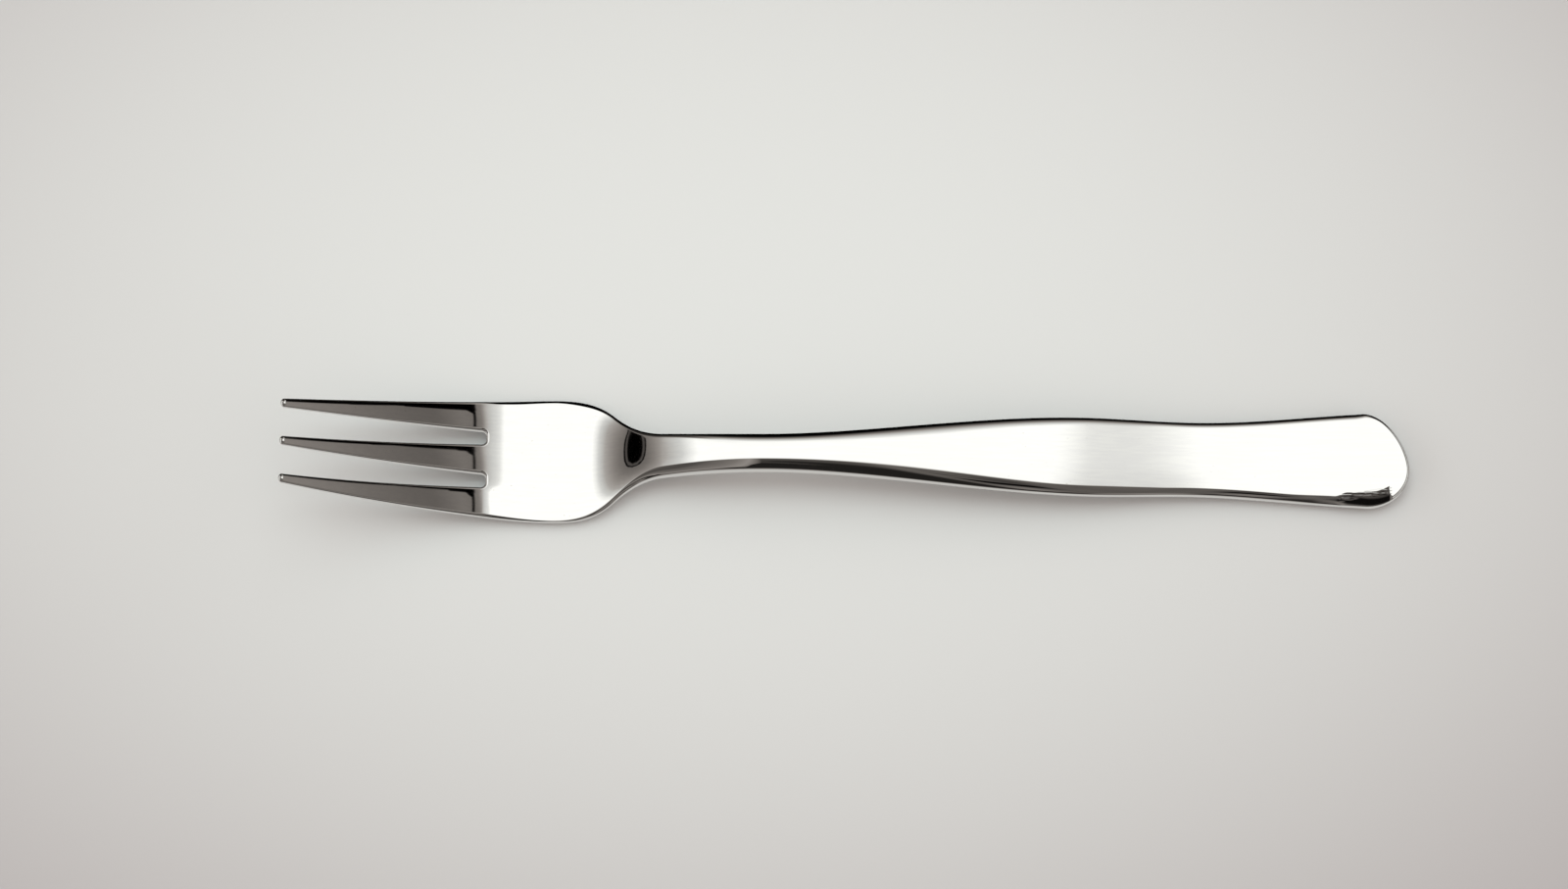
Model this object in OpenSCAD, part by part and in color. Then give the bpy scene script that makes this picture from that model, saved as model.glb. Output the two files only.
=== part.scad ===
// Steak fork, forged in one piece: three tapered tines, a flat head, a thick rounded neck
// and a broad handle whose sides run in a gentle wave to a slanted end.
// Tines point along -X, the top face looks up (+Z), the table is z = 0, the middle is x = 0.

/* [Tines] */
// Length of the tines from the root line to the tips, seen from above
tine_l = 34.5; // [28:0.5:42]
// Width over the three tips
tip_span = 15.3; // [13:0.1:18]
// Width of each tine at its tip
tine_tip_w = 1.5; // [0.8:0.1:2]
// Thickness of each tine at its tip
tine_tip_t = 1.3; // [0.9:0.1:1.8]
// Height of the tips above the table, measured to the middle of the steel
tip_h = 16.4; // [11:0.1:22]
// Slope of the tines at their tips, in degrees
tip_angle = 26.5; // [16:0.5:30]
// Length of the rounding at the very tip
tip_round = 0.6; // [0.3:0.1:1]
// Rounding radius along the edges of the tines
tine_edge_r = 0.55; // [0.3:0.05:0.6]

/* [Slots] */
// Width of a slot at the tine roots
slot_w = 2.6; // [2:0.1:3.4]
// How far a slot runs past the root line into the head
slot_depth = 1.3; // [1:0.1:5]
// Corner radius of the closed end of a slot
slot_r = 0.9; // [0.5:0.1:1.2]

/* [Head] */
// Width across the tine roots
root_w = 21.4; // [19:0.1:23]
// Thickness of the steel at the tine roots
root_t = 1.9; // [1.5:0.1:2.6]
// Height of the tine roots above the table, measured to the middle of the steel
root_h = 2.9; // [2:0.1:4]
// Slope of the tines at their roots, in degrees
root_angle = 14.5; // [8:0.5:20]
// Length from the root line to the widest place
palm_l = 13.5; // [11:0.1:20]
// Width at the widest place
head_w = 22.8; // [21.5:0.1:27]
// Thickness at the widest place
head_t = 2; // [1.6:0.1:3]
// Rounding radius along the edges of the head
head_edge_r = 0.5; // [0.3:0.05:0.75]

/* [Shoulder and neck] */
// Length from the widest place to the steepest place of the shoulder
shoulder_l = 11.1; // [8:0.1:14]
// Width at the steepest place of the shoulder
shoulder_w = 15.9; // [12:0.1:18]
// Angle of the sides at the steepest place, in degrees
shoulder_angle = 42; // [30:1:50]
// Thickness at the steepest place of the shoulder
shoulder_t = 2.3; // [1.8:0.1:3.5]
// Height of the steepest place, measured to the middle of the steel
shoulder_h = 2.4; // [1.8:0.05:3]
// Rise towards the neck at the steepest place, in degrees
shoulder_rise = 17; // [8:0.5:20]
// Length from the steepest place to the foot of the neck
foot_l = 9.05; // [7:0.05:13]
// Width of the neck at its foot
foot_w = 7.8; // [6.8:0.1:9.5]
// Thickness of the neck at its foot
foot_t = 4.1; // [3.4:0.1:5]
// Height of the foot of the neck, measured to the middle of the steel
foot_h = 5.1; // [4:0.1:6.5]
// Rise of the neck at its foot, in degrees
foot_rise = 13; // [6:0.5:16]
// Length from the foot of the neck to its narrowest place
neck_l = 17.7; // [12:0.1:26]
// Width at the narrowest place
neck_w = 6.75; // [5:0.05:7.5]
// Thickness at the narrowest place
neck_t = 4.4; // [3.8:0.1:5.4]
// Height of the narrowest place, measured to the middle of the steel
neck_h = 7.5; // [6:0.1:10]
// Rounding radius along the edges of the neck
neck_edge_r = 1.8; // [1:0.1:1.9]
// How far the top of the neck is crowned above its edges
neck_crown = 0.25; // [0:0.05:0.5]

/* [Handle] */
// Length from the narrowest place to the first swell of the handle
stem_l = 59.4; // [40:0.1:70]
// Width of the first swell
swell_w = 14.5; // [11:0.1:18]
// Height of the first swell, measured to the middle of the steel
swell_h = 4.55; // [3.6:0.05:6]
// Fall of the handle at the first swell, in degrees
swell_fall = 6.5; // [3:0.5:10]
// Length from the first swell to the waist
waist_l = 18.6; // [16:0.1:30]
// Width of the waist
waist_w = 13.7; // [10:0.1:17]
// Length from the waist to the heel, the widest place of the handle
flare_l = 31.7; // [24:0.1:40]
// Width of the heel
heel_w = 17.5; // [14:0.1:21]
// Angle at which the sides still spread at the heel, in degrees
heel_spread = 2.75; // [0:0.25:6]
// Length of the flat underside ahead of the heel, on which the handle lies
rest_l = 10; // [6:0.5:16]
// Depth to which that underside is ground flat
rest_depth = 0.08; // [0.04:0.01:0.15]
// Length from the heel to the very end
end_l = 7.9; // [5:0.1:12]
// How far the very end lies off the middle, towards the user's left
end_slant = 1.8; // [0:0.1:3]
// Fullness of the end curve on the slanted side: 2 is a quarter of an ellipse
slant_fullness = 1.7; // [1.5:0.1:2.4]
// Fullness of the end curve on the other side
end_fullness = 2; // [1.7:0.1:2.6]
// Thickness of the handle from the first swell to the end
handle_t = 3.2; // [2.8:0.1:4.2]
// Rounding radius along the edges of the handle
handle_edge_r = 1.3; // [0.8:0.05:1.4]
// How far the top of the handle is crowned above its edges
handle_crown = 0.15; // [0:0.05:0.4]

/* [Hidden] */
// Places along the fork, measured from the tips
at_root = tine_l;
at_widest = at_root + palm_l;
at_shoulder = at_widest + shoulder_l;
at_foot = at_shoulder + foot_l;
at_neck = at_foot + neck_l;
at_swell = at_neck + stem_l;
at_waist = at_swell + waist_l;
at_heel = at_waist + flare_l;
at_rest = at_heel - rest_l;
at_end = at_heel + end_l;
// Width of a tine at its root
tine_root_w = (root_w - 2 * slot_w) / 3;
// Distance from tine to tine at the roots, middle to middle
root_pitch = tine_root_w + slot_w;
// Greatest share of a thickness or a width that an edge rounding may take up
round_share = 0.47;
// Slope of the sides at the tips, at the tine roots and at the foot of the neck
tip_taper = 0.11;
root_taper = 0.075;
foot_taper = 0.075;
// Gain in thickness for each length along the shoulder
thicken = 0.1;
// Facets along each corner rounding, and points across the crowned top
corner_steps = 4;
crown_steps = 6;
// Ring spacing along the head, the neck and the handle
ring_step = 1.5;
// Rings along a tine, round its tip, and round the end of the handle
tine_steps = 16;
tip_steps = 4;
end_steps = 11;
// Overlap of a cutter past the faces that it cuts
cut_over = 1;
steel = [0.78, 0.78, 0.77];

// Places that drive each course along the fork: [place, value, slope]
half_widths = [
    [0, tip_span / 2, tip_taper],
    [at_root, root_w / 2, root_taper],
    [at_widest, head_w / 2, 0],
    [at_shoulder, shoulder_w / 2, -tan(shoulder_angle)],
    [at_foot, foot_w / 2, -foot_taper],
    [at_neck, neck_w / 2, 0],
    [at_swell, swell_w / 2, 0],
    [at_waist, waist_w / 2, 0],
    [at_heel, heel_w / 2, tan(heel_spread)],
];
heights = [
    [0, tip_h, -tan(tip_angle)],
    [at_root, root_h, -tan(root_angle)],
    [at_widest, head_t / 2, 0],
    [at_shoulder, shoulder_h, tan(shoulder_rise)],
    [at_foot, foot_h, tan(foot_rise)],
    [at_neck, neck_h, 0],
    [at_swell, swell_h, -tan(swell_fall)],
    [at_rest, handle_t / 2 - rest_depth, 0],
    [at_end, handle_t / 2 - rest_depth, 0],
];
thicknesses = [
    [0, tine_tip_t, 0],
    [at_root, root_t, 0],
    [at_widest, head_t, 0],
    [at_shoulder, shoulder_t, thicken],
    [at_foot, foot_t, thicken],
    [at_neck, neck_t, 0],
    [at_swell, handle_t, 0],
    [at_end, handle_t, 0],
];
roundings = [
    [0, tine_edge_r, 0],
    [at_root, tine_edge_r, 0],
    [at_widest, head_edge_r, 0],
    [at_foot, neck_edge_r, 0],
    [at_neck, neck_edge_r, 0],
    [at_swell, handle_edge_r, 0],
    [at_end, handle_edge_r, 0],
];
crowns = [
    [0, 0, 0],
    [at_widest, 0, 0],
    [at_neck, neck_crown, 0],
    [at_swell, handle_crown, 0],
    [at_end, handle_crown, 0],
];

// Smooth course between two driving places that meets both values and both slopes
function blend(p, q, at) =
    let (l = q[0] - p[0], k = (at - p[0]) / l)
    p[1] * (1 + 2 * k) * pow(1 - k, 2) + p[2] * l * k * pow(1 - k, 2)
    + q[1] * k * k * (3 - 2 * k) + q[2] * l * k * k * (k - 1);

// Value of a course at a place
function course(places, at, i = 0) =
    i >= len(places) - 2 || at <= places[i + 1][0]
    ? blend(places[i], places[i + 1], at)
    : course(places, at, i + 1);

// Places from a to b, about one ring step apart
function places_between(a, b) =
    let (n = ceil((b - a) / ring_step))
    [for (i = [0:n]) a + (b - a) * i / n];

// Points of one corner rounding, turning from the given angle through a quarter
function corner(y, z, r, turn) =
    [
        for (i = [0:corner_steps])
            let (a = turn + 90 * i / corner_steps)
            [y + r * cos(a), z + r * sin(a)]
    ];

// Cross-section of half width w and thickness t with rounded edges, crowned on top
function section(w, t, edge_r, crown) =
    let (
        r = min(edge_r, round_share * t, 2 * round_share * w),
        y = w - r,
        z = t / 2 - r,
        top = [for (i = [1:crown_steps - 1]) [y * (1 - 2 * i / crown_steps), t / 2]],
        outline = concat(
            corner(y, z, r, 0), top, corner(-y, z, r, 90), corner(-y, -z, r, 180), corner(y, -z, r, 270)
        )
    )
    [for (p = outline) [p[0], p[1] > 0 ? p[1] * (1 + 2 * crown / t * (1 - pow(p[0] / w, 2))) : p[1]]];

// Cross-section set upright at a place, with its middle at the given offset from the middle line
function ring(at, offset, w, t) =
    let (z = course(heights, at), edge_r = course(roundings, at), crown = course(crowns, at))
    [for (p = section(w, t, edge_r, crown)) [at - at_end / 2, offset + p[0], z + p[1]]];

// Ring across the whole width of head, neck or handle
function body_ring(at) = ring(at, 0, course(half_widths, at), course(thicknesses, at));

// Ring across one tine; side is -1, 0 or 1, and size shrinks the ring for the rounded tip
function tine_ring(side, at, size) =
    let (
        w = tine_tip_w + (tine_root_w - tine_tip_w) * at / at_root,
        offset = side * (course(half_widths, at) - w / 2)
    )
    ring(at, offset, size * w / 2, size * course(thicknesses, at));

// Ring across the rounded end of the handle; turn runs from 0 at the heel to 90 at the very end
function end_ring(turn) =
    let (
        k = sin(turn),
        at = at_heel + end_l * k,
        slant_side = (heel_w / 2 + end_slant) * pow(1 - pow(k, slant_fullness), 1 / slant_fullness),
        other_side = (heel_w / 2 - end_slant) * pow(1 - pow(k, end_fullness), 1 / end_fullness),
        short = max(0, handle_edge_r - end_l * (1 - k)),
        lost = handle_edge_r - sqrt(pow(handle_edge_r, 2) - pow(short, 2))
    )
    ring(at, (slant_side - other_side) / 2 - end_slant, (slant_side + other_side) / 2, handle_t - 2 * lost);

// Solid through a row of rings, closed by flat faces
module loft(rings) {
    n = len(rings[0]);
    last = (len(rings) - 1) * n;
    sides = [
        for (i = [0:len(rings) - 2], j = [0:n - 1])
            let (a = i * n + j, b = i * n + (j + 1) % n)
            each [[a, b + n, b], [a, a + n, b + n]]
    ];
    first_cap = [for (j = [0:n - 1]) j];
    last_cap = [for (j = [n - 1:-1:0]) last + j];
    polyhedron([for (r = rings) each r], concat(sides, [first_cap, last_cap]), convexity = 6);
}

// Outline of the closed end of a slot, grown by the given amount and open towards the tips
function slot_outline(grow) =
    let (
        start = at_root - cut_over,
        w = slot_w / 2 + grow,
        r = slot_r + grow,
        middle = at_root + slot_depth - slot_r
    )
    concat([[start, -w]], corner(middle, r - w, r, -90), corner(middle, w - r, r, 0), [[start, w]]);

// Slot outline laid on the curved steel at one step of the edge rounding; face is 1 on top, -1 below
function slot_ring(face, turn) =
    let (grow = tine_edge_r * (1 - sin(turn)), depth = tine_edge_r * (1 - cos(turn)))
    [
        for (p = slot_outline(grow))
            let (rise = course(thicknesses, p[0]) / 2 - depth)
            [p[0] - at_end / 2, p[1], course(heights, p[0]) + face * rise]
    ];

// Slot outline at a fixed height, clear of the steel and as wide as the first step of the rounding
function slot_cap(z) =
    let (grow = tine_edge_r * (1 - sin(90 / corner_steps)))
    [for (p = slot_outline(grow)) [p[0] - at_end / 2, p[1], z]];

// Closed end of a slot with rounded edges, to be cut from the head
module slot_end(side) {
    under_rings = [for (i = [1:corner_steps]) slot_ring(-1, 90 * i / corner_steps)];
    top_rings = [for (i = [corner_steps:-1:1]) slot_ring(1, 90 * i / corner_steps)];
    under_cap = slot_cap(-cut_over);
    top_cap = slot_cap(root_h + root_t + cut_over);
    translate([0, side * root_pitch / 2, 0])
        loft(concat([under_cap], under_rings, top_rings, [top_cap]));
}

module tine(side) {
    tip_rings = [
        for (i = [0:tip_steps - 1])
            let (k = (i + 0.5) / tip_steps)
            tine_ring(side, tip_round * (1 - cos(90 * k)), sin(90 * k))
    ];
    side_rings = [
        for (i = [0:tine_steps])
            tine_ring(side, tip_round + (at_root - tip_round) * i / tine_steps, 1)
    ];
    loft(concat(tip_rings, side_rings));
}

module left_tine() {
    color(steel)
        tine(-1);
}

module middle_tine() {
    color(steel)
        tine(0);
}

module right_tine() {
    color(steel)
        tine(1);
}

module head() {
    color(steel)
        difference() {
            loft([for (at = places_between(at_root, at_foot)) body_ring(at)]);
            for (side = [-1, 1])
                slot_end(side);
        }
}

module neck() {
    color(steel)
        loft([for (at = places_between(at_foot, at_neck)) body_ring(at)]);
}

module handle() {
    grip_rings = [for (at = places_between(at_neck, at_heel)) body_ring(at)];
    end_rings = [for (i = [1:end_steps - 1]) end_ring(90 * i / (end_steps - 0.5))];
    color(steel)
        difference() {
            loft(concat(grip_rings, end_rings));
            translate([at_swell - at_end / 2, -heel_w, -cut_over])
                cube([at_end - at_swell + cut_over, 2 * heel_w, cut_over]);
        }
}

left_tine();
middle_tine();
right_tine();
head();
neck();
handle();
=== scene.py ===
"""Polished steak fork: a skin of mirror-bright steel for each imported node, on a pale studio floor."""
import math

import bpy
import numpy as np
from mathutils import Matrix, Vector
from mathutils.geometry import delaunay_2d_cdt


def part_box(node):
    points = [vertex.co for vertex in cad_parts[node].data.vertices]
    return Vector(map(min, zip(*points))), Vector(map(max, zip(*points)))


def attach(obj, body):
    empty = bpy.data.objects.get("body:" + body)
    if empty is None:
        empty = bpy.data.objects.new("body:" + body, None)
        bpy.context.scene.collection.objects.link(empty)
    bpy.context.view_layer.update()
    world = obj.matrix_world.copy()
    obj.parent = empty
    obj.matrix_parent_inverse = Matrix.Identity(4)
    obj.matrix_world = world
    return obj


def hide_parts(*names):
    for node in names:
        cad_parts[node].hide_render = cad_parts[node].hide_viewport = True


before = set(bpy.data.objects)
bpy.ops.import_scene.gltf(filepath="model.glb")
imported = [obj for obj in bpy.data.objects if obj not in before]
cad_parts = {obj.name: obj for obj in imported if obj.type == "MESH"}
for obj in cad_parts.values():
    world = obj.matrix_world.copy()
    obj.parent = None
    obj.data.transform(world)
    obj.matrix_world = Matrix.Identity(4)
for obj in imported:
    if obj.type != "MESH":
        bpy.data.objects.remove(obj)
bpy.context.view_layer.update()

# Lengths of the fork are millimetres, as on the drawing; MM turns them into metres.
MM = 0.001
TINES = {"left_tine": -1, "middle_tine": 0, "right_tine": 1}

# Places along the fork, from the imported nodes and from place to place
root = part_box("middle_tine")[1].x / MM
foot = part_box("head")[1].x / MM
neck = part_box("neck")[1].x / MM
stem = neck + 29.0
tip = root - 34.5
widest = root + 13.5
shoulder = widest + 11.1
swell = neck + 59.4
waist = swell + 18.6
heel = waist + 31.7
rest = heel - 10.0
grip_end = heel - 2.0
thin_edge = heel + 4.0
end = heel + 7.9

# Widths
HEAD_W = 2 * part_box("head")[1].y / MM
ROOT_W = 21.4
SLOT_W = 2.6
SLOT_DEPTH = 1.3
SLOT_R = 0.9
TINE_TIP_W = 1.5
TINE_ROOT_W = (ROOT_W - 2 * SLOT_W) / 3
TIP_ROUND = 0.6
HEEL_W = 17.5
END_SLANT = 1.8
SLANT_FULLNESS = 1.7

# Pillowed tops of the tines: greatest slope across a tine, and how far it runs on into the head
PILLOW = 0.045
PILLOW_FADE = 5.0

# How much flatter the rise to the neck lies at the near side and at the far side than in the middle.
# The near side blends out about the foot, the far side before and after the shoulder.
NEAR_FLATTER = 0.55
FOOT_BLEND = 4.0
FAR_FLATTER = 0.4
FAR_BLEND = 3.0
FAR_WANE = 1.0

# How much flatter the head lies behind the near tine: where this begins after the root, the run before
# the widest place over which it ends, and where it begins off the middle line
CORNER_FLATTER = 0.2
CORNER_RISE = (0.5, 2.4)
CORNER_WANE = 7.0
CORNER_SIDE = (4.2, 6.4)

# Fullness of the far edge of the head, which is ground to a narrow bevel, and the run over which it begins
FAR_FULLNESS = 1.15
GROUND_FADE = 4.0

# Near corner of the handle's end, which buffing has dubbed over into a wide flat bevel: where it starts and
# stops from the heel and how sharply, how wide and deep it is, and how deep it seems by its shine
DUB_START = -4.8
DUB_START_FADE = 1.2
DUB_STOP = 4.5
DUB_STOP_FADE = 0.4
DUB_REACH = (2.3, 2.8)
DUB_DEPTH = 0.6
DUB_LEAN = 1.15
DUB_FULLNESS = 1.15

# Share of the bevel that leads in ahead of its start, and how far ahead that begins and is full
DUB_LEAD = 0.3
DUB_LEAD_RUN = 10.0
DUB_LEAD_GAP = 1.0

# Blunt end of each tine, ground off on top: the turn of the outline at which it begins, how far back it goes
# and over what run, how deep it is, and how steep it seems by its shine
BLUNT_TURN = (0.4, 0.8)
BLUNT_BACK = 0.65
BLUNT_RUN = 1.6
BLUNT_DEPTH = 0.6
BLUNT_LEAN = 0.86
BLUNT_FULLNESS = 1.3

# Plain fullness of a rounded edge, a quarter of an ellipse, and the most of the thickness that it may take
ROUND_FULLNESS = 2
EDGE_SHARE = 0.47

# Fineness of the skin: steps along edges and flat faces, round corners and over edges, and for slopes
EDGE_STEP = 0.45
TOP_STEP = 0.8
CURVE_STEPS = 10
ROUND_STEPS = 8
SLOPE_STEP = 0.02

# Room that the points of a flat face leave beside its ring and beside a cut
RING_ROOM = 0.45 * TOP_STEP
CUT_ROOM = 0.4 * TOP_STEP

# How near two points are one place, and the choice of filling that keeps only what lies inside the ring
SAME_PLACE = 1e-6
KEEP_INSIDE = 1


def slope(degrees):
    """Rise for each length at an angle."""
    return math.tan(math.radians(degrees))


def course(*stations):
    """Smooth line along the fork that meets each (place, value, slope)."""
    at, value, lean = np.array(stations, float).T

    def along(x):
        i = np.clip(np.searchsorted(at, x) - 1, 0, len(at) - 2)
        length = at[i + 1] - at[i]
        k = (x - at[i]) / length
        return (
            value[i] * (1 + 2 * k) * (1 - k) ** 2
            + lean[i] * length * k * (1 - k) ** 2
            + value[i + 1] * k * k * (3 - 2 * k)
            + lean[i + 1] * length * k * k * (k - 1)
        )

    return along


half_width = course(
    (tip, 7.65, 0.11),
    (root, ROOT_W / 2, 0.075),
    (widest, HEAD_W / 2, 0),
    (shoulder, 7.95, -slope(42)),
    (foot, 3.9, -0.075),
    (neck, 3.375, 0),
    (swell, 7.25, 0),
    (waist, 6.85, 0),
    (heel, HEEL_W / 2, slope(2.75)),
)
middle = course(
    (tip, 16.4, -slope(26.5)),
    (root, 2.9, -slope(14.5)),
    (widest, 1.0, 0),
    (shoulder, 2.4, slope(17)),
    (foot, 5.1, slope(13)),
    (neck, 7.5, 0),
    (swell, 4.55, -slope(6.5)),
    (rest, 1.52, 0),
    (end, 1.52, 0),
)
thickness = course(
    (tip, 1.3, 0),
    (root, 1.9, 0),
    (widest, 2.0, 0),
    (shoulder, 2.3, 0.1),
    (foot, 4.1, 0.1),
    (neck, 4.4, 0),
    (swell, 3.2, 0),
    (end, 3.2, 0),
)
edge_depth = course(
    (tip, 0.42, 0),
    (root, 0.55, 0),
    (widest, 0.2, 0),
    (shoulder, 0.7, 0),
    (foot, 1.7, 0),
    (neck, 1.7, 0),
    (stem, 1.4, 0),
    (swell, 1.3, 0),
    (grip_end, 1.3, 0),
    (thin_edge, 0.5, 0),
    (end, 0.5, 0),
)
edge_reach = course(
    (tip, 0.42, 0),
    (root, 0.55, 0),
    (widest, 0.2, 0),
    (shoulder, 0.7, 0),
    (foot, 1.7, 0),
    (neck, 1.9, 0),
    (stem, 2.35, 0),
    (swell, 1.75, 0),
    (waist, 1.2, 0),
    (grip_end, 1.3, 0),
    (thin_edge, 0.5, 0),
    (end, 0.5, 0),
)
under_depth = course((tip, 0.42, 0), (root, 0.65, 0), (widest, 0.9, 0), (end, 0.9, 0))
far_rounding = course(
    (tip, 1, 0),
    (root, 1, 0),
    (widest, 2.8, 0),
    (shoulder, 0.85, 0),
    (foot, 0.6, 0),
    (neck, 1, 0),
    (end, 1, 0),
)
crown = course((tip, 0, 0), (widest, 0, 0), (neck, 0.25, 0), (swell, 0.15, 0), (end, 0.15, 0))


def ramp(low, high, x):
    """0 up to low, 1 from high on, and an even bend in between."""
    k = np.clip((x - low) / (high - low), 0, 1)
    return k * k * (3 - 2 * k)


def tine_width(x):
    """Width of one tine, which tapers evenly to its tip."""
    return TINE_TIP_W + (TINE_ROOT_W - TINE_TIP_W) * np.clip((x - tip) / (root - tip), 0, 1)


def tine_pitch(x):
    """Distance from the middle tine to an outer one."""
    at = np.minimum(x, root)
    return half_width(at) - tine_width(at) / 2


def top_height(x, y):
    """Top face of the steel, before its edges are rounded."""
    body = crown(x) * np.clip(1 - (y / half_width(np.minimum(x, heel))) ** 2, 0, 1)
    return middle(x) + thickness(x) / 2 + body


def pillow_lean(x, y):
    """Slope of the tops of the tines, which are polished slightly round from side to side."""
    fade = 1 - ramp(root, root + PILLOW_FADE, x)
    return PILLOW * fade * np.sin(2 * math.pi * y / tine_pitch(x))


def flatter(x, y):
    """Share by which the rise from the head to the neck is flatter off the middle line."""
    near = ramp(widest, shoulder, x) * (1 - ramp(foot - FOOT_BLEND, foot + FOOT_BLEND, x))
    far = ramp(widest, shoulder - FAR_BLEND, x) * (1 - ramp(shoulder - FAR_WANE, shoulder + FAR_BLEND, x))
    off = y / half_width(np.minimum(x, heel))
    sides = np.where(off < 0, NEAR_FLATTER * near * abs(off) ** 3, FAR_FLATTER * far * off ** 4)
    rise, full = CORNER_RISE
    corner = ramp(root + rise, root + full, x) * (1 - ramp(widest - CORNER_WANE, widest, x))
    return CORNER_FLATTER * (corner * ramp(*CORNER_SIDE, -y)) + sides


def under_height(x, y):
    """Underside of the steel, before its edges are rounded."""
    return np.maximum(middle(x) - thickness(x) / 2, 0) + 0 * y


def places(start, stop):
    """Places along an edge, close together."""
    return np.linspace(start, stop, math.ceil(abs(stop - start) / EDGE_STEP) + 1)


def tine_edges(side):
    """Outline of one tine, from its root on the far side (+Y) round the tip and back."""
    run = places(root, tip + TIP_ROUND)
    far = side * (half_width(run) - tine_width(run) / 2) + tine_width(run) / 2
    near = far - tine_width(run)
    turn = np.radians(np.linspace(90, -90, 2 * CURVE_STEPS + 1))
    tip_x = tip + TIP_ROUND * (1 - np.cos(turn))
    tip_y = (far[-1] + near[-1]) / 2 + (far[-1] - near[-1]) / 2 * np.sin(turn)
    return np.r_[run, tip_x[1:-1], run[::-1]], np.r_[far, tip_y[1:-1], near[::-1]]


def slot_edges(side):
    """Outline of the closed end of a slot, from its far side to its near side."""
    out = np.radians(np.linspace(90, 0, CURVE_STEPS + 1))
    bend_x = root + SLOT_DEPTH - SLOT_R + SLOT_R * np.cos(out)
    bend_y = SLOT_W / 2 - SLOT_R + SLOT_R * np.sin(out)
    lead = places(root, bend_x[0])[:-1]
    x = np.r_[lead, bend_x]
    y = np.r_[0 * lead + SLOT_W / 2, bend_y]
    across = side * (TINE_ROOT_W + SLOT_W) / 2
    return np.r_[x, x[::-1]], across + np.r_[y, -y[::-1]]


def end_edges():
    """Outline of the slanted end of the handle, from the near side to the far side."""
    turn = np.radians(np.linspace(0, 90, 4 * CURVE_STEPS + 1))
    near_x = heel + (end - heel) * np.sin(turn)
    near_y = -(HEEL_W / 2 - END_SLANT) * np.cos(turn) - END_SLANT
    fuller = 2 / SLANT_FULLNESS
    far_x = heel + (end - heel) * np.sin(turn) ** fuller
    far_y = (HEEL_W / 2 + END_SLANT) * np.cos(turn) ** fuller - END_SLANT
    return np.r_[near_x, far_x[-2::-1]], np.r_[near_y, far_y[-2::-1]]


def outline():
    """Closed outline of the fork from above, against the clock, and the node that each point leads into."""
    far_body = [("handle", places(heel, neck)), ("neck", places(neck, foot)), ("head", places(foot, root))]
    near_body = [(node, x[::-1]) for node, x in reversed(far_body)]
    runs = [(node, x, half_width(x)) for node, x in far_body]
    runs += [("right_tine", *tine_edges(1)), ("head", *slot_edges(1))]
    runs += [("middle_tine", *tine_edges(0)), ("head", *slot_edges(-1))]
    runs += [("left_tine", *tine_edges(-1))]
    runs += [(node, x, -half_width(x)) for node, x in near_body]
    runs += [("handle", *end_edges())]
    points = np.vstack([np.c_[x, y][:-1] for _, x, y in runs])
    nodes = [node for node, x, _ in runs for _ in x[:-1]]
    return points, nodes


def outward(points):
    """Directions that point straight out of a closed outline."""
    along = np.roll(points, -1, 0) - np.roll(points, 1, 0)
    along /= np.linalg.norm(along, axis=1)[:, None]
    return np.c_[along[:, 1], -along[:, 0]]


def inside(points, ring):
    """Which points lie within a closed ring, clear of it by nearly half a step."""
    a, b = ring, np.roll(ring, -1, 0)
    within = np.zeros(len(points), bool)
    gap = np.full(len(points), np.inf)
    for (ax, ay), (bx, by) in zip(a, b):
        crosses = (ay > points[:, 1]) != (by > points[:, 1])
        hit = ax + (points[:, 1] - ay) * (bx - ax) / (by - ay if by != ay else 1)
        within ^= crosses & (points[:, 0] < hit)
        k = ((points[:, 0] - ax) * (bx - ax) + (points[:, 1] - ay) * (by - ay))
        k = np.clip(k / ((bx - ax) ** 2 + (by - ay) ** 2), 0, 1)
        away = np.hypot(points[:, 0] - ax - k * (bx - ax), points[:, 1] - ay - k * (by - ay))
        gap = np.minimum(gap, away)
    return within & (gap > RING_ROOM)


def cut_pairs(edge, nodes):
    """Outline points on either side of each cut between two nodes, as pairs of numbers."""
    turns = [i for i in range(len(nodes)) if nodes[i] != nodes[i - 1]]
    pairs = []
    for place in (root, foot, neck):
        at_place = [i for i in turns if abs(edge[i, 0] - place) < SAME_PLACE]
        at_place.sort(key=lambda i: -edge[i, 1])
        pairs += list(zip(at_place[::2], at_place[1::2]))
    return pairs


def normals_of(height, x, y, sign):
    """Directions square to a height field, upwards for sign 1 and downwards for -1."""
    dx = (height(x + SLOPE_STEP, y) - height(x - SLOPE_STEP, y)) / (2 * SLOPE_STEP)
    dy = (height(x, y + SLOPE_STEP) - height(x, y - SLOPE_STEP)) / (2 * SLOPE_STEP)
    if sign > 0:
        dx = dx * (1 - flatter(x, y))
        dy = dy - pillow_lean(x, y)
    return np.c_[-sign * dx, -sign * dy, np.full(len(x), float(sign))]


def unit(v):
    """Directions brought to length 1."""
    return v / np.linalg.norm(v, axis=1)[:, None]


def dubbed(edge):
    """1 where the near corner of the handle's end is dubbed over, 0 elsewhere."""
    x, y = edge.T
    start, stop = heel + DUB_START, heel + DUB_STOP
    lead = DUB_LEAD * ramp(start - DUB_LEAD_RUN, start - DUB_LEAD_GAP, x)
    rise = lead + (1 - lead) * ramp(start - DUB_START_FADE, start + DUB_START_FADE, x)
    return rise * (1 - ramp(stop - DUB_STOP_FADE, stop + DUB_STOP_FADE, x)) * (y < -END_SLANT)


def blunt(edge, out):
    """1 at the very tips of the tines, 0 elsewhere."""
    return ramp(*BLUNT_TURN, -out[:, 0]) * (edge[:, 0] < tip + TIP_ROUND)


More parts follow.
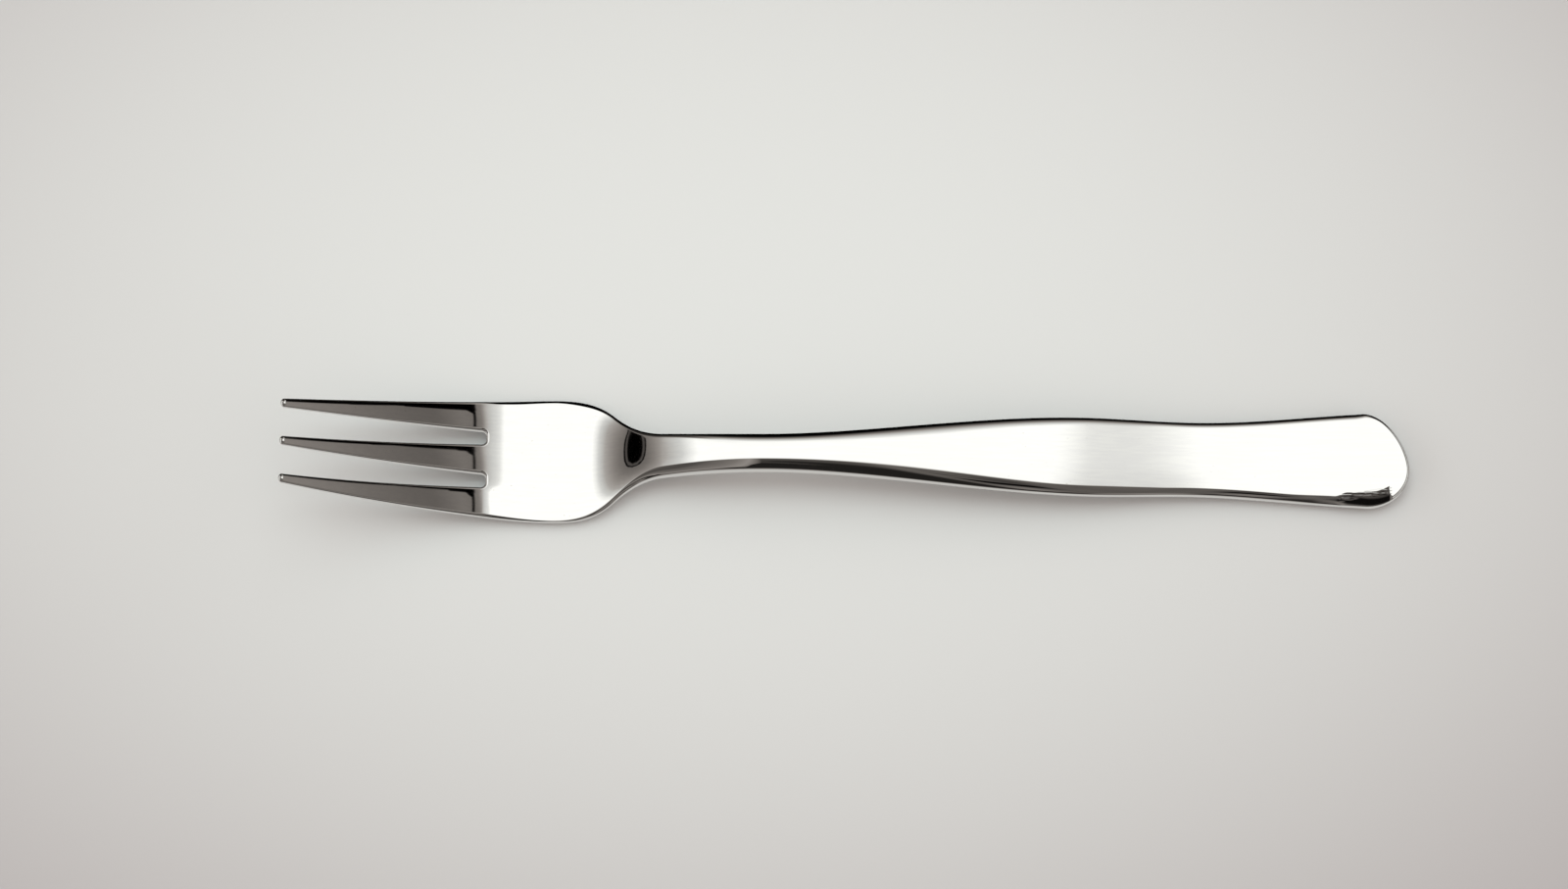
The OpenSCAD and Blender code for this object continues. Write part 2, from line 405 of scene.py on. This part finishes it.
def ground(edge):
    """1 along the far edge of the head, 0 elsewhere."""
    x, y = edge.T
    return ramp(root, root + GROUND_FADE, x) * (1 - ramp(shoulder, foot, x)) * (y > 0)


def face_loops(edge, out, height, sign):
    """Rings of points and their directions over a rounded edge, from the side wall to the flat face."""
    far = np.where(edge[:, 1] > 0, far_rounding(edge[:, 0]), 1)
    depth = edge_depth(edge[:, 0]) * far
    if sign < 0:
        depth = np.maximum(depth, under_depth(edge[:, 0]))
    depth = np.minimum(depth, EDGE_SHARE * thickness(edge[:, 0]))
    reach = steep = depth
    full = ROUND_FULLNESS + 0 * depth
    if sign > 0:
        share, tips = dubbed(edge), blunt(edge, out)
        bevel = np.interp(edge[:, 0], (heel + DUB_START, heel + DUB_STOP), DUB_REACH)
        reach = np.maximum(edge_reach(edge[:, 0]) * far, depth)
        reach = reach + share * (bevel - reach)
        depth = depth + share * (DUB_DEPTH - depth) + tips * (BLUNT_DEPTH - depth)
        full = full + ground(edge) * (FAR_FULLNESS - full) + share * (DUB_FULLNESS - full)
        full = full + tips * (BLUNT_FULLNESS - full)
        out = unit(out + share[:, None] * ((0, -1) - out))
        steep = depth + share * (DUB_LEAN - depth) + tips * (BLUNT_LEAN * reach - depth)
    lean = np.c_[out * (steep / reach)[:, None], 0 * depth]
    rows, ways = [], []
    for turn in np.radians(np.linspace(0, 90, ROUND_STEPS + 1)):
        c, s = max(math.cos(turn), 0), math.sin(turn)
        inward = 1 - c ** (2 / full)
        at = edge - out * (reach * inward)[:, None]
        if sign > 0:
            at[:, 0] += BLUNT_BACK * inward * np.clip(1 - (at[:, 0] - tip) / BLUNT_RUN, 0, 1)
        z = height(at[:, 0], at[:, 1]) - sign * depth * (1 - s ** (2 / full))
        flat = normals_of(height, at[:, 0], at[:, 1], sign)
        rows.append(np.c_[at, z])
        ways.append(unit(flat * (s ** (2 - 2 / full))[:, None] + lean * (c ** (2 - 2 / full))[:, None]))
    return rows, ways


def flat_grid(ring):
    """Points spread evenly within a ring."""
    low, high = ring.min(0), ring.max(0)
    x = np.arange(low[0], high[0], TOP_STEP)
    y = np.arange(0, high[1] + TOP_STEP, TOP_STEP)
    y = np.r_[-y[:0:-1], y]
    grid = np.array(np.meshgrid(x, y)).reshape(2, -1).T
    return grid[inside(grid, ring)]


def cut_grid(ring, grid, pairs):
    """The grid with rows of points along each cut between two nodes, and the edges along these rows."""
    rows = []
    for a, b in pairs:
        steps = math.ceil(np.linalg.norm(ring[b] - ring[a]) / TOP_STEP)
        rows.append((a, np.linspace(ring[a], ring[b], steps + 1)[1:-1], b))
        grid = grid[abs(grid[:, 0] - ring[a, 0]) > CUT_ROOM]
    chains = []
    for a, row, b in rows:
        first = len(ring) + len(grid)
        numbers = [a, *range(first, first + len(row)), b]
        chains += list(zip(numbers, numbers[1:]))
        grid = np.vstack([grid, row])
    return grid, chains


class Skin:
    """Points, directions and faces of the whole fork, with the node that each face belongs to."""

    def __init__(self):
        self.points, self.ways, self.faces, self.nodes, self.edge = [], [], [], [], []

    def add_points(self, points, ways, edge):
        """Keeps points with their directions and their nearness to an edge, and gives the first number."""
        first = sum(map(len, self.points))
        self.points.append(points)
        self.ways.append(ways)
        self.edge.append(np.full(len(points), edge))
        return first

    def add_strip(self, a, b, count, nodes):
        """Faces between two rings that start at points a and b."""
        for i in range(count):
            j = (i + 1) % count
            self.faces.append((a + i, a + j, b + j, b + i))
            self.nodes.append(nodes[i])


def node_at(x, y, foot_cut, neck_cut):
    """Node that a place on a flat face belongs to."""
    if x > neck_cut:
        return "handle"
    if x > foot_cut:
        return "neck"
    if x > root:
        return "head"
    side = np.sign(y) if abs(y) > tine_pitch(np.array(x)) / 2 else 0
    return next(node for node, s in TINES.items() if s == side)


def fill_flat(skin, ring, ring_first, pairs, height, sign):
    """Fills a flat face within its ring, whose points have the numbers from ring_first on."""
    count = len(ring)
    grid, cut_edges = cut_grid(ring, flat_grid(ring), pairs)
    spots = [Vector(p) for p in np.vstack([ring, grid])]
    found = delaunay_2d_cdt(spots, cut_edges, [list(range(count))], KEEP_INSIDE, SAME_PLACE)
    found_spots, _, found_faces, sources, _, _ = found
    x, y = grid.T
    first = skin.add_points(np.c_[grid, height(x, y)], unit(normals_of(height, x, y, sign)), 0.0)
    number = [s[0] + (ring_first if s[0] < count else first - count) for s in sources]
    foot_cut, neck_cut = (ring[a, 0] for a, _ in pairs[-2:])
    for face in found_faces:
        centre = sum((found_spots[i] for i in face), Vector((0, 0))) / len(face)
        corners = [number[i] for i in face]
        skin.faces.append(tuple(corners if sign > 0 else corners[::-1]))
        skin.nodes.append(node_at(centre.x, centre.y, foot_cut, neck_cut))


def fork_skin():
    """The whole surface of the fork: rounded edges ring by ring, flat faces filled in between."""
    skin = Skin()
    edge, nodes = outline()
    out = outward(edge)
    count = len(edge)
    pairs = cut_pairs(edge, nodes)
    walls = []
    for height, sign in ((top_height, 1), (under_height, -1)):
        rows, ways = face_loops(edge, out, height, sign)
        steps = np.linspace(1, 0, len(rows))
        firsts = [skin.add_points(p, w, s) for p, w, s in zip(rows, ways, steps)]
        for a, b in zip(firsts, firsts[1:]):
            skin.add_strip(*((a, b) if sign > 0 else (b, a)), count, nodes)
        walls.append(firsts[0])
        fill_flat(skin, rows[-1][:, :2], firsts[-1], pairs, height, sign)
    skin.add_strip(walls[1], walls[0], count, nodes)
    return skin


def open_rims(faces):
    """Closed chains of the edges that only one face uses, turned so that a cap faces outwards."""
    after = {}
    pairs = {(f[i - 1], f[i]) for f in faces for i in range(len(f))}
    for a, b in pairs:
        if (b, a) not in pairs:
            after[b] = a
    rims = []
    while after:
        start, at = after.popitem()
        rim = [start]
        while at != start:
            rim.append(at)
            at = after.pop(at)
        rims.append(rim)
    return rims


def make_piece(name, skin, points, ways, edge_near):
    """One node's share of the skin as a closed mesh that rides on the fork."""
    faces = [f for f, node in zip(skin.faces, skin.nodes) if node == name]
    caps = open_rims(faces)
    used = sorted({i for f in faces for i in f})
    number = {old: new for new, old in enumerate(used)}
    mesh = bpy.data.meshes.new(name + "_skin")
    mesh.from_pydata(points[used] * MM, [], [[number[i] for i in f] for f in faces + caps])
    loops = [tuple(ways[i]) for f in faces for i in f]
    for cap in caps:
        along = points[cap].mean(0)[0] - points[used].mean(0)[0]
        loops += [(math.copysign(1, along), 0, 0)] * len(cap)
    mesh.shade_smooth()
    mesh.normals_split_custom_set(loops)
    mesh.attributes.new("edge_near", "FLOAT", "POINT").data.foreach_set("value", edge_near[used])
    piece = bpy.data.objects.new(name + "_skin", mesh)
    bpy.context.scene.collection.objects.link(piece)
    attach(piece, "root")
    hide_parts(name)
    return piece


def make_fork():
    """All the pieces of the fork's skin."""
    skin = fork_skin()
    points = np.vstack(skin.points)
    ways = np.vstack(skin.ways)
    edge_near = np.concatenate(skin.edge)
    return [make_piece(name, skin, points, ways, edge_near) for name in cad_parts]


# Camera of the photograph: 15 degrees off straight down, at arm's length
VIEW_TILT = math.radians(15)
VIEW_AIM = Vector((-11.79, 3.6, 0)) * MM
VIEW_DISTANCE = 700 * MM
VIEW_LENS = 88.0


def make_camera():
    """Camera at the photograph's place and angle."""
    data = bpy.data.cameras.new("studio_camera")
    data.lens = VIEW_LENS
    data.sensor_width = 36
    data.clip_start = 0.01
    data.clip_end = 50
    camera = bpy.data.objects.new("studio_camera", data)
    bpy.context.scene.collection.objects.link(camera)
    camera.location = VIEW_AIM + VIEW_DISTANCE * Vector((0, -math.sin(VIEW_TILT), math.cos(VIEW_TILT)))
    camera.rotation_euler = (VIEW_TILT, 0, 0)
    bpy.context.scene.camera = camera


class Wire:
    """A socket of a shader that can be written in sums like a number."""

    def __init__(self, board, socket):
        self.board, self.socket = board, socket

    def sum(self, operation, *values):
        """A Math node on these values."""
        return self.board.add("ShaderNodeMath", {"operation": operation}, dict(enumerate(values)))

    def __add__(self, other):
        return self.sum("ADD", self, other)

    def __radd__(self, other):
        return self.sum("ADD", other, self)

    def __sub__(self, other):
        return self.sum("SUBTRACT", self, other)

    def __rsub__(self, other):
        return self.sum("SUBTRACT", other, self)

    def __mul__(self, other):
        return self.sum("MULTIPLY", self, other)

    def __rmul__(self, other):
        return self.sum("MULTIPLY", other, self)


class Board:
    """A shader's nodes, added one by one."""

    def __init__(self, tree):
        self.tree = tree
        tree.nodes.clear()

    def add(self, kind, settings=None, sockets=None, give=0):
        """A node of a kind: its settings first, then its sockets, and one of its outputs back."""
        node = self.tree.nodes.new(kind)
        for name, value in (settings or {}).items():
            if name == "stops":
                self.set_stops(node.color_ramp, value)
            else:
                setattr(node, name, value)
        for name, value in (sockets or {}).items():
            if isinstance(value, Wire):
                self.tree.links.new(value.socket, node.inputs[name])
            else:
                node.inputs[name].default_value = value
        return Wire(self, node.outputs[give]) if node.outputs else None

    @staticmethod
    def set_stops(band, stops):
        """Stops of a colour ramp, as (place, colour) pairs."""
        while len(band.elements) < len(stops):
            band.elements.new(1)
        for element, (place, colour) in zip(band.elements, stops):
            element.position, element.color = place, colour

    def grade(self, value, low, high, to_low=0.0, to_high=1.0):
        """An even bend from to_low to to_high while a value runs from low to high."""
        sockets = {"Value": value, 1: low, 2: high, 3: to_low, 4: to_high}
        return self.add("ShaderNodeMapRange", {"interpolation_type": "SMOOTHSTEP"}, sockets)

    def band(self, value, low, high, soft):
        """1 while a value lies between low and high, and 0 outside, with soft edges."""
        rise = self.grade(value, low - soft, low + soft)
        return rise * self.grade(value, high - soft, high + soft, 1.0, 0.0)

    def profile(self, value, *stops):
        """A level that runs from stop to stop, each a (place, level), while a value grows."""
        low, high = stops[0][0], stops[-1][0]
        greys = [((place - low) / (high - low), (level, level, level, 1)) for place, level in stops]
        share = (value - low) * (1 / (high - low))
        return self.add("ShaderNodeValToRGB", {"stops": greys}, {"Fac": share})

    def larger(self, value, least):
        """A value, or the least that it may be."""
        return self.add("ShaderNodeMath", {"operation": "MAXIMUM"}, {0: value, 1: least})

    def noise(self, place, scale, detail):
        """Random level about one half, finer along each way the larger its scale."""
        stretched = self.add("ShaderNodeVectorMath", {"operation": "MULTIPLY"}, {0: place, 1: scale})
        return self.add("ShaderNodeTexNoise", {}, {"Vector": stretched, "Scale": 1.0, "Detail": detail})

    def split(self, vector):
        """The three parts of a direction or a place."""
        first = self.add("ShaderNodeSeparateXYZ", {}, {0: vector})
        return [Wire(self, socket) for socket in first.socket.node.outputs]

    def colour(self, share, low, high):
        """A colour that goes from low to high with a share."""
        return self.add("ShaderNodeMix", {"data_type": "RGBA"}, {0: share, 6: low, 7: high}, 2)


# Polished steel: pale and darker grain, specks, and roughness in the clear, in clouds and on rubbed edges
STEEL_PALE = (0.75, 0.745, 0.738, 1)
STEEL_DARK = (0.722, 0.716, 0.718, 1)
STEEL_SPECK = (0.60, 0.58, 0.55, 1)
MIRROR_ROUGH = 0.022
CLOUDED_ROUGH = 1.6 * MIRROR_ROUGH
RUBBED_ROUGH = 0.015

# Fineness of the finish along, across and up, in spots for each metre, and the hairlines' share of the grain
HAIRLINE_GRAIN = (90, 1900, 1900)
CLOUD_GRAIN = (110, 160, 160)
SPECK_GRAIN = (2600, 2600, 2600)
PATCH_GRAIN = (45, 60, 60)
SCUFF_GRAIN = (200, 2600, 2600)
HAIRLINE_SHARE = 0.65

# Depth of the hairlines in metres, and of the scuffs in hairlines
HAIRLINE_DEPTH = 0.9e-7
SCUFF_DEPTH = 260

# Band of scuffs on the handle's bevel: its sides below the bevel's upper edge, how it turns, and how soft
# its ends and its sides are
SCUFF_BAND = (-1.4, -0.2)
SCUFF_TURN = 0.15
SCUFF_END_SOFT = 0.3
SCUFF_SIDE_SOFT = 0.1


def scuffs(board, place):
    """Scratches along the upper half of the bevel at the near corner of the handle."""
    x, y, _ = board.split(place)
    start, stop = (heel + DUB_START) * MM, (heel + DUB_STOP) * MM
    lower, upper = (side * MM for side in SCUFF_BAND)
    from_rim = y + (HEEL_W / 2 - DUB_REACH[0]) * MM - (x - start) * SCUFF_TURN
    along = board.band(x, start, stop, SCUFF_END_SOFT * MM)
    bevel = along * board.band(from_rim, lower, upper, SCUFF_SIDE_SOFT * MM)
    return bevel * board.grade(board.noise(place, SCUFF_GRAIN, 2.0), 0.42, 0.62)


def polished_steel():
    """Mirror-polished stainless steel: buffing hairlines along the fork, rubbed edges and a few specks."""
    material = bpy.data.materials.new("polished_steel")
    material.use_nodes = True
    board = Board(material.node_tree)
    place = board.add("ShaderNodeTexCoord", give="Object")
    hairlines = board.noise(place, HAIRLINE_GRAIN, 3.0)
    clouds = board.noise(place, CLOUD_GRAIN, 4.0)
    specks = board.noise(place, SPECK_GRAIN, 1.0)
    patches = board.noise(place, PATCH_GRAIN, 1.0)
    edge = board.add("ShaderNodeAttribute", {"attribute_name": "edge_near"}, give="Fac")
    rubbed = edge * edge * board.grade(clouds, 0.35, 0.65)
    mixed = hairlines * HAIRLINE_SHARE + clouds * (1 - HAIRLINE_SHARE)
    grain = board.grade(mixed, 0.38, 0.62)
    speck = board.grade(specks, 0.74, 0.78) * board.grade(patches, 0.52, 0.60)
    colour = board.colour(grain, STEEL_DARK, STEEL_PALE)
    colour = board.colour(speck, colour, STEEL_SPECK)
    rough = board.grade(clouds, 0.3, 0.7, MIRROR_ROUGH, CLOUDED_ROUGH) + rubbed * RUBBED_ROUGH
    relief = hairlines + scuffs(board, place) * SCUFF_DEPTH
    sockets = {"Strength": 1.0, "Distance": HAIRLINE_DEPTH, "Height": relief}
    bump = board.add("ShaderNodeBump", {}, sockets)
    sockets = {"Base Color": colour, "Metallic": 1.0, "Roughness": rough, "Normal": bump}
    steel = board.add("ShaderNodeBsdfPrincipled", {}, sockets)
    board.add("ShaderNodeOutputMaterial", {}, {"Surface": steel})
    return material


# Studio floor: half its size in metres, its colour in the middle of a painted pool of light and its painted
# shade far from it, where that middle is, how fast the painted light falls off each way, and from where to
# where the painted colour changes
FLOOR_HALF = 4.0
FLOOR_COLOUR = (0.672, 0.755, 0.770, 1)
FLOOR_PAINTED_SHADE = (0.371, 0.377, 0.391, 1)
PAINTED_POOL_MIDDLE = Vector((-22, 32, 0)) * MM
PAINTED_POOL_FALL = Vector((1 / 0.27, 1 / 0.18, 0))
PAINTED_POOL_FADE = (-0.3, 0.9)


def floor_paint_with_light_pool():
    """Pale floor with a pool of light painted into its colour, brightest behind the fork, and painted shade
    towards its corners.
    """
    material = bpy.data.materials.new("studio_floor")
    material.use_nodes = True
    board = Board(material.node_tree)
    place = board.add("ShaderNodeTexCoord", give="Object")
    x, y, _ = board.split(place)
    away_x = (x - PAINTED_POOL_MIDDLE.x) * PAINTED_POOL_FALL.x
    away_y = (y - PAINTED_POOL_MIDDLE.y) * PAINTED_POOL_FALL.y
    # Painted light: the floor's colour is brightest in a painted pool behind the fork and darkens to painted
    # shade outwards
    painted_falloff = board.grade(away_x * away_x + away_y * away_y, *PAINTED_POOL_FADE)
    colour = board.colour(painted_falloff, FLOOR_COLOUR, FLOOR_PAINTED_SHADE)
    paint = board.add("ShaderNodeBsdfDiffuse", {}, {"Color": colour})
    board.add("ShaderNodeOutputMaterial", {}, {"Surface": paint})
    return material


def make_floor():
    """Floor under the fork; the steel shows the studio's own picture of it."""
    corners = [(x * FLOOR_HALF, y * FLOOR_HALF, 0) for x, y in ((-1, -1), (1, -1), (1, 1), (-1, 1))]
    mesh = bpy.data.meshes.new("studio_floor")
    mesh.from_pydata(corners, [], [(0, 1, 2, 3)])
    mesh.materials.append(floor_paint_with_light_pool())
    floor = bpy.data.objects.new("studio_floor", mesh)
    floor.visible_glossy = False
    bpy.context.scene.collection.objects.link(floor)


# Studio light: what the steel shows as white, and how strong the same light and its fill are on the floor
STEEL_WHITE = 1.4
FLOOR_LIGHT = 2.86
FLOOR_FILL = 0.20

# Levels of the room far out to the sides, above and below the table's horizon
WALL_LEVEL = 0.62
TABLE_END_LEVEL = 0.2

# Colours of the dim parts in the steel and on the floor, of the box's light, and the levels between the two
WARM_GREY = (1.1, 1.0, 0.91, 1)
WARM_FLOOR = (1.36, 1.0, 0.89, 1)
BOX_WHITE = (0.995, 1.0, 0.96, 1)
WARM_RANGE = (0.1, 0.6)

# What the camera sees past the floor
BACKDROP = (0.72, 0.71, 0.68, 1)


def box_front(board, across, back, right_half):
    """1 where the soft box shows and 0 in front of it. Its right half starts further back."""
    left_line = board.profile(
        across, (-0.60, -0.10), (-0.43, -0.33), (-0.30, -0.58), (-0.19, -0.67), (0.0, -0.70)
    )
    right_line = board.profile(
        across, (0.0, -0.13), (0.03, -0.05), (0.055, -0.04), (0.08, -0.21), (0.11, -0.30), (0.15, -0.33),
        (0.20, -0.30), (0.28, -0.27),
    )
    lit = board.grade(back - left_line - right_half * (right_line - left_line), -0.10, 0.10)
    return lit + (1.0 - lit) * board.grade(across, 0.33, 0.38)


def soft_box(board, across, back, lit):
    """The box: bright in the middle, fading to its sides and back, with a hood over its back left."""
    low = board.grade(back, 0.18, 0.24, 0.010, 0.0) * board.grade(across, 0.295, 0.305, 1.0, 0.0)
    sides = board.profile(
        across + low,
        (-0.76, 0.10), (-0.70, 0.15), (-0.60, 0.265), (-0.54, 0.35), (-0.50, 0.48), (-0.46, 0.60),
        (-0.42, 0.82), (-0.38, 1.0), (0.27, 1.0), (0.28, 0.91), (0.288, 0.82), (0.294, 0.745),
        (0.30, 0.71), (0.31, 0.65), (0.32, 0.61), (0.33, 0.58), (0.35, 0.48), (0.36, 0.42), (0.37, 0.33),
        (0.38, 0.22), (0.39, 0.17), (0.41, 0.14), (0.43, 0.15), (0.48, 0.10), (0.52, 0.105), (0.58, 0.13),
        (0.70, 0.20), (0.78, 0.42),
    )
    depth = board.profile(
        back,
        (0.34, 1.0), (0.40, 0.91), (0.50, 0.78), (0.60, 0.63), (0.70, 0.48), (0.78, 0.35),
        (0.86, 0.19), (0.93, 0.10), (0.97, 0.02), (1.0, 0.0),
    )
    hood = board.grade(across, -0.32, -0.20, 1.0, 0.0) * board.grade(back, 0.36, 0.85, 0.0, 0.85)
    return sides * depth * lit * (1.0 - hood)


def dim_front(board, across, back, right_half):
    """The dim room in front of the box: on its right half a black flag, and a pit beside the middle."""
    left_gloom = board.profile(
        across, (-0.60, 0.10), (-0.42, 0.06), (-0.36, 0.065), (-0.30, 0.10), (-0.22, 0.125), (-0.15, 0.16),
        (-0.08, 0.24), (-0.03, 0.12), (0.0, 0.03),
    )
    right_gloom = board.profile(
        across, (0.0, 0.06), (0.05, 0.06), (0.07, 0.07), (0.09, 0.14), (0.13, 0.15), (0.16, 0.10),
        (0.20, 0.08), (0.24, 0.09), (0.28, 0.08), (0.36, 0.12),
    )
    flag = board.band(across, 0.09, 0.20, 0.02) * board.profile(
        back, (-0.88, 0.0), (-0.74, 0.97), (-0.58, 0.97), (-0.53, 0.5), (-0.46, 0.3), (-0.42, 0.8),
        (-0.34, 0.4),
    )
    right_gloom = right_gloom * (1.0 - flag)
    pit = board.grade(across, 0.05, 0.07, 1.0, 0.0) * board.grade(back, -0.55, -0.25, 0.8, 0.0)
    return left_gloom + right_half * (right_gloom * (1.0 - pit) - left_gloom)


def dark_gaps(board, picture, across, back):
    """The picture with a black lip and gap past the box's right end, and a black nook past its left end."""
    curl = across + 0.05 * (back - 0.25)
    lip = board.grade(curl, 0.402, 0.405) * board.grade(
        curl - 0.3 * board.larger(back - 0.283, 0.0), 0.408, 0.411, 1.0, 0.0
    )
    past_right = board.grade(across, 0.395, 0.402) * board.grade(across, 0.68, 0.74, 1.0, 0.0)
    behind = past_right * board.grade(back + 0.3 * board.larger(across - 0.54, 0.0), 0.314, 0.322)
    picture = picture * (1.0 - lip) * (1.0 - behind)
    mouth = across + 0.826 - 0.4 * back + 6.0 * board.larger(back - 0.312, 0.0)
    nook = board.grade(across, -0.82, -0.78) * board.band(back, 0.13, 0.40, 0.03)
    ring = board.band(mouth, -0.014, -0.007, 0.002) * 0.06
    return picture * (1.0 - nook * board.grade(mouth, -0.002, 0.001, 1.0, 0.0)) + nook * ring


def side_walls(board, picture, across, back):
    """The picture with the plain walls of the room far out to the sides and in its corners."""
    aside = board.grade(across * across, 0.58, 0.74)
    corners = board.grade(across * across, 0.36, 0.50) * board.grade(back * back, 0.16, 0.30)
    return picture + board.larger(aside, corners) * (WALL_LEVEL - picture)


def table_top(board, across, back, up):
    """The table under the fork: palest a little off straight down, darker outwards, dark at the back."""
    table = board.profile(
        up, (-1.0, 0.40), (-0.97, 0.45), (-0.87, 0.55), (-0.80, 0.48), (-0.67, 0.40), (-0.51, 0.28),
        (-0.41, 0.12), (-0.30, 0.02), (0.0, 0.01),
    )
    dusk = board.grade(up, -0.39, -0.15, 0.0, 0.19) * (
        board.grade(across, -0.12, -0.06, 1.0, 0.0) + board.grade(across, 0.14, 0.22)
    )
    front = board.grade(back, 0.20, 0.28, 1.0, 0.0) * board.grade(across, 0.25, 0.40, 1.0, 0.5)
    ends = board.grade(across * across, 0.30, 0.56) * TABLE_END_LEVEL
    return board.larger((table + dusk) * front, ends)


def studio_picture(board, across, back, up):
    """Brightness of the studio in each direction, as the steel shows it: one broad box in a dim room."""
    deep = board.grade(back, -0.95, -0.70, 0.045, 0.0)
    right_half = board.grade(across + deep, -0.009, -0.001)
    lit = box_front(board, across, back, right_half)
    gloom = dim_front(board, across, back, right_half)
    picture = soft_box(board, across, back, lit) + gloom * (1.0 - lit)
    picture = dark_gaps(board, picture, across, back)
    picture = side_walls(board, picture, across, back)
    below = board.grade(up, -0.02, 0.02, 1.0, 0.0)
    return picture + below * (table_top(board, across, back, up) - picture)


def studio_light():
    """The studio as the sky of the scene: in the steel, as light on the floor, and a plain backdrop."""
    world = bpy.data.worlds.new("studio")
    bpy.context.scene.world = world
    world.use_nodes = True
    board = Board(world.node_tree)
    across, back, up = board.split(board.add("ShaderNodeTexCoord", give="Generated"))
    picture = studio_picture(board, across, back, up)
    on_floor = picture * FLOOR_LIGHT + FLOOR_FILL
    in_steel = picture * STEEL_WHITE
    glossy = board.add("ShaderNodeLightPath", give="Is Glossy Ray")
    level = on_floor + glossy * (in_steel - on_floor)
    dim = board.colour(glossy, WARM_FLOOR, WARM_GREY)
    tint = board.colour(board.grade(picture, *WARM_RANGE), dim, BOX_WHITE)
    room = board.add("ShaderNodeBackground", {}, {"Color": tint, "Strength": level})
    backdrop = board.add("ShaderNodeBackground", {}, {"Color": BACKDROP, "Strength": 1.0})
    camera = board.add("ShaderNodeLightPath", give="Is Camera Ray")
    sky = board.add("ShaderNodeMixShader", {}, {0: camera, 1: room, 2: backdrop})
    board.add("ShaderNodeOutputWorld", {}, {"Surface": sky})


make_camera()
make_floor()
studio_light()
steel = polished_steel()
for piece in make_fork():
    piece.data.materials.append(steel)
bpy.context.scene.view_settings.view_transform = "Standard"
